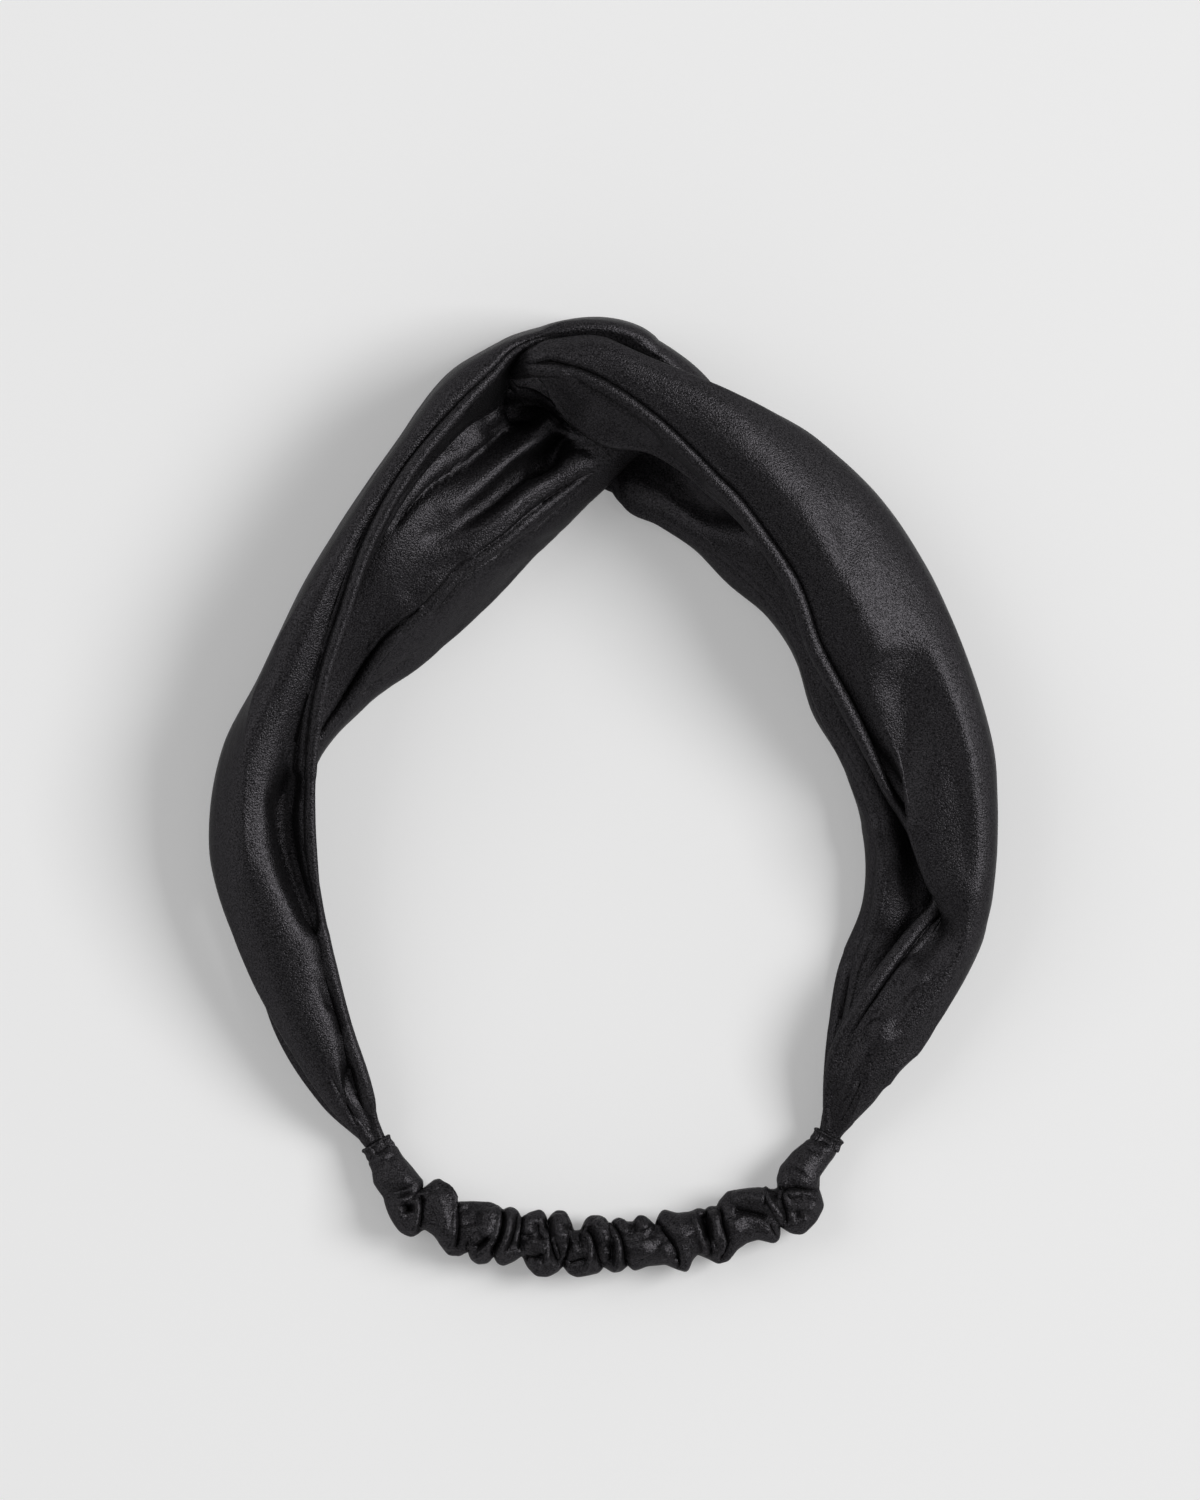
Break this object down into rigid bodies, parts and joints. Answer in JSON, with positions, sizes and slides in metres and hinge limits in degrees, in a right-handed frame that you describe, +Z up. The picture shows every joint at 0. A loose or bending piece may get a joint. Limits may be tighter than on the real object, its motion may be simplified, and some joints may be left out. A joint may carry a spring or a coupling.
{
  "type": "satin twist headwrap",
  "caption": "Turban headwrap of wide satin strips hooked through one another at the front, closed at the back by a ruched elastic casing.",
  "frame": {"origin": "on the surface that the wrap lies on, under the middle of its box", "axes": "+Z up from the surface; +Y from the casing at the back of the head towards the twist at the front; +X to the right as the picture shows it"},
  "size_m": [0.1644, 0.2002, 0.0338],
  "materials": {
    "satin": "black satin, soft grainy sheen",
    "collar_satin": "black satin, gathered and stitched",
    "casing_satin": "black satin, ruched over the elastic",
    "elastic": "matt black knitted elastic"
  },
  "bodies": {
    "root": {"left_strip": "satin", "right_strip": "satin", "left_collar": "collar_satin", "right_collar": "collar_satin", "casing": "casing_satin", "elastic_band": "elastic"}
  },
  "joints": []
}
